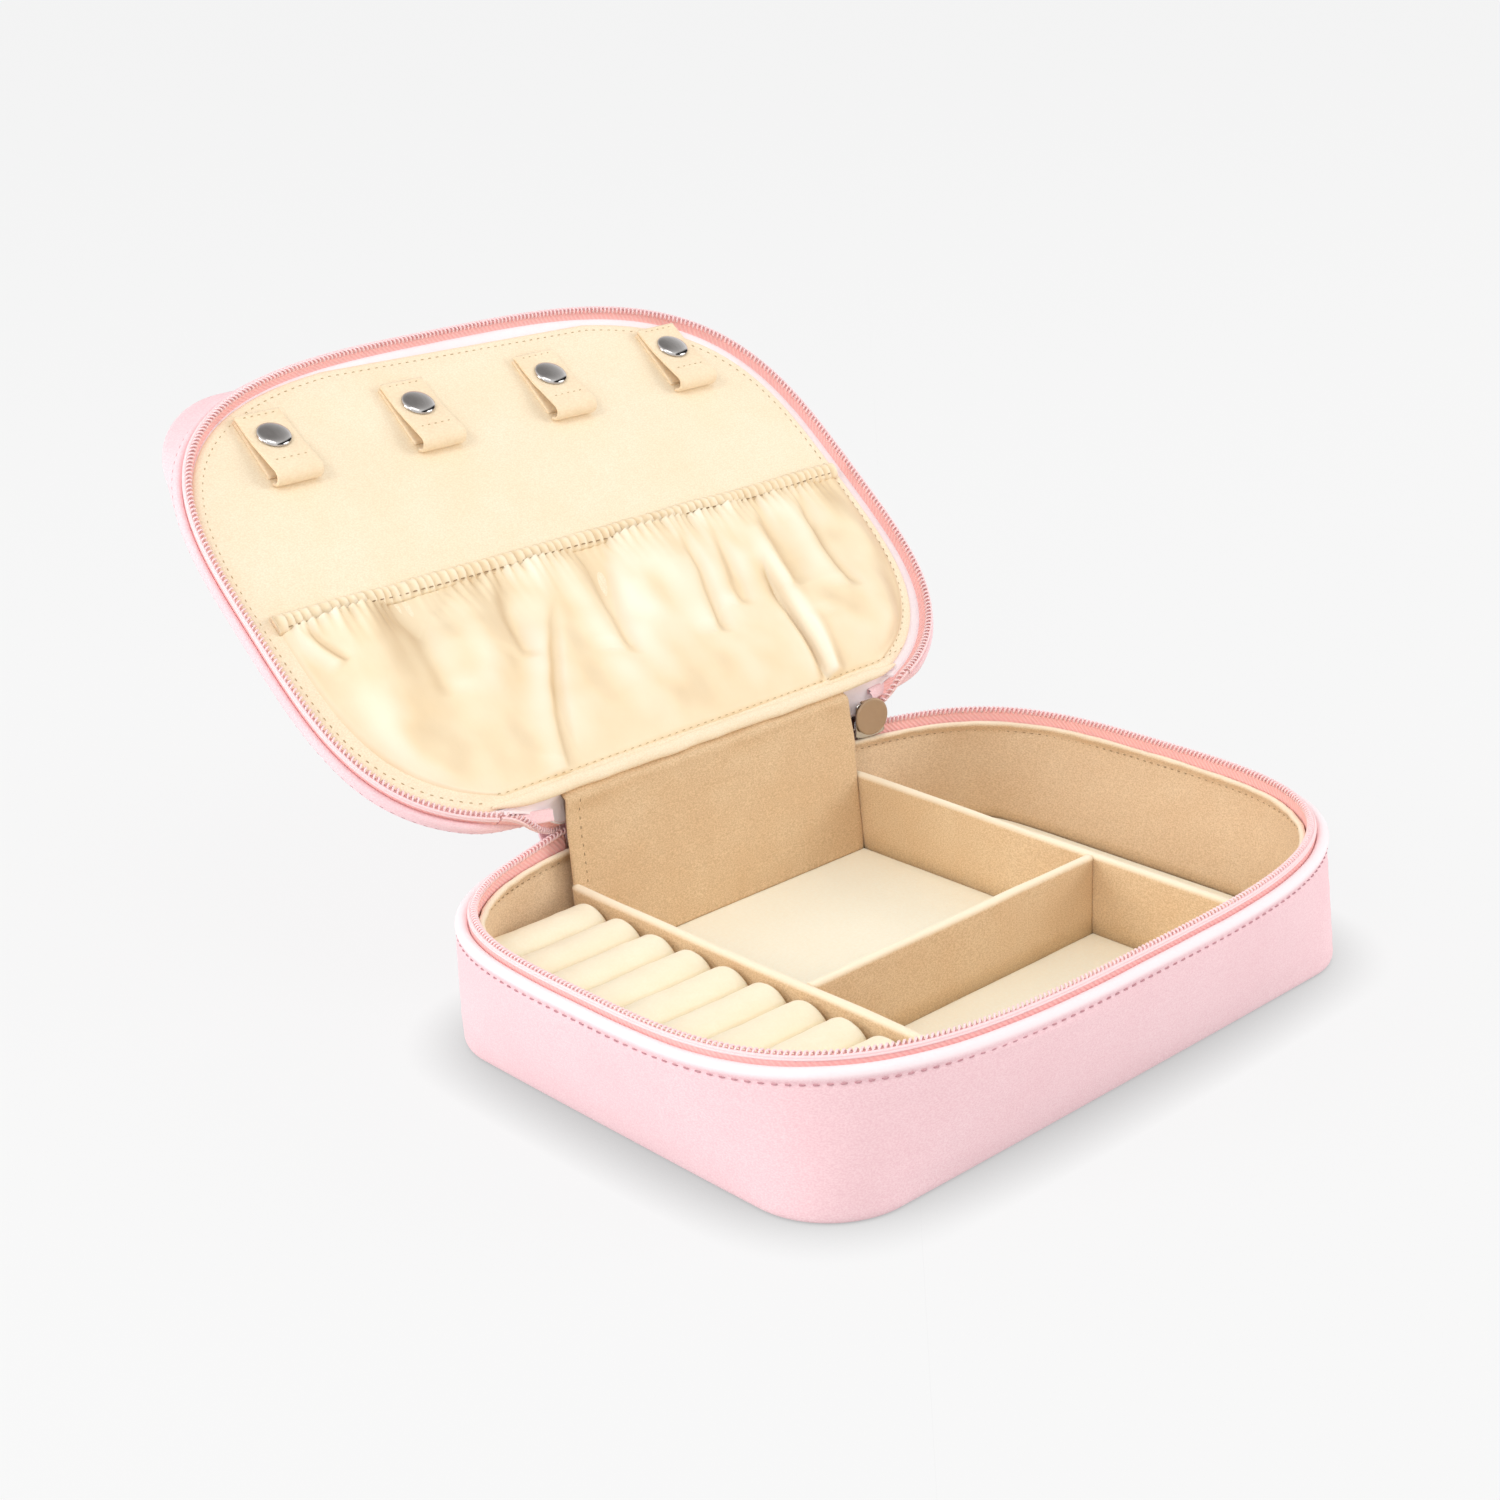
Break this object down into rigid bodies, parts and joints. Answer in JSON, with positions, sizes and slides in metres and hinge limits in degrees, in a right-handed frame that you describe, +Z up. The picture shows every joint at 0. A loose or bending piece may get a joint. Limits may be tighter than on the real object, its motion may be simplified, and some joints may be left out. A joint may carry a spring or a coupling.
{
  "type": "travel jewelry case",
  "caption": "Soft suede-covered travel case with divided base, ring rolls, and a zip-round lid carrying snap straps and a gathered pocket; lid drawn open.",
  "frame": {"origin": "centre of the flat underside of the base", "axes": "+X along the long front side to the right, +Y from the front to the hinge side, +Z up"},
  "size_m": [0.2184, 0.2713, 0.1491],
  "materials": {
    "suede_pink": "matte",
    "suede_beige": "matte",
    "suede_cream": "matte",
    "zip_tape": "matte",
    "zip_coil": "satin",
    "lid_lining": "matte",
    "elastic": "matte",
    "board": "matte",
    "metal_dark": "polished",
    "metal_pull": "satin"
  },
  "bodies": {
    "base": {"base_shell": "suede_pink", "base_wall_board": "board", "base_bottom_board": "board", "base_side_lining": "suede_beige", "floor_pad": "suede_cream", "hinge_panel": "suede_beige", "left_divider": "suede_beige", "right_divider": "suede_beige", "cross_divider": "suede_beige", "ring_roll_card": "suede_cream", "ring_rolls": "suede_cream", "base_zip_tape": "zip_tape", "base_zip_teeth": "zip_coil", "zip_end_stops": "zip_tape", "hinge_cover": "suede_pink", "hinge_panel_top": "suede_beige"},
    "lid": {"lid_shell": "suede_pink", "lid_board": "board", "lid_side_lining": "lid_lining", "lid_panel": "suede_beige", "lid_zip_tape": "zip_tape", "lid_zip_teeth": "zip_coil", "pocket": "suede_cream", "pocket_header": "suede_cream", "pocket_elastic": "elastic", "lid_hem_roll": "suede_cream", "strap_bases": "suede_beige", "snap_studs": "metal_dark"},
    "slider": {"zip_slider": "metal_dark", "slider_bail": "metal_dark"},
    "pull": {"zip_pull": "metal_pull"},
    "strap_1": {"strap_flap_1": "suede_beige", "snap_cap_1": "metal_dark"},
    "strap_2": {"strap_flap_2": "suede_beige", "snap_cap_2": "metal_dark"},
    "strap_3": {"strap_flap_3": "suede_beige", "snap_cap_3": "metal_dark"},
    "strap_4": {"strap_flap_4": "suede_beige", "snap_cap_4": "metal_dark"}
  },
  "joints": [
    {"name": "lid_hinge", "type": "hinge", "parent": "base", "child": "lid", "pos_m": [0, 0.073, 0.0461], "axis": [1, 0, 0], "range_deg": [0, 139.8], "deforming": ["hinge_cover", "hinge_panel_top"]},
    {"name": "strap_1_open", "type": "hinge", "parent": "lid", "child": "strap_1", "pos_m": [-0.0695, 0.15631, 0.12599], "axis": [-1, 0, 0], "range_deg": [-150, 0]},
    {"name": "strap_2_open", "type": "hinge", "parent": "lid", "child": "strap_2", "pos_m": [-0.0221, 0.15631, 0.12599], "axis": [-1, 0, 0], "range_deg": [-150, 0]},
    {"name": "strap_3_open", "type": "hinge", "parent": "lid", "child": "strap_3", "pos_m": [0.0253, 0.15631, 0.12599], "axis": [-1, 0, 0], "range_deg": [-150, 0]},
    {"name": "strap_4_open", "type": "hinge", "parent": "lid", "child": "strap_4", "pos_m": [0.0727, 0.15631, 0.12599], "axis": [-1, 0, 0], "range_deg": [-150, 0]},
    {"name": "slider_travel", "type": "hinge", "parent": "base", "child": "slider", "pos_m": [0.05037, 0.01103, 0.0387], "axis": [0, 0, 1], "range_deg": [-28, 0]},
    {"name": "pull_swing", "type": "hinge", "parent": "slider", "child": "pull", "pos_m": [0.05997, 0.07236, 0.0453], "axis": [0.988, -0.1547, 0], "range_deg": [-110, 0]}
  ]
}
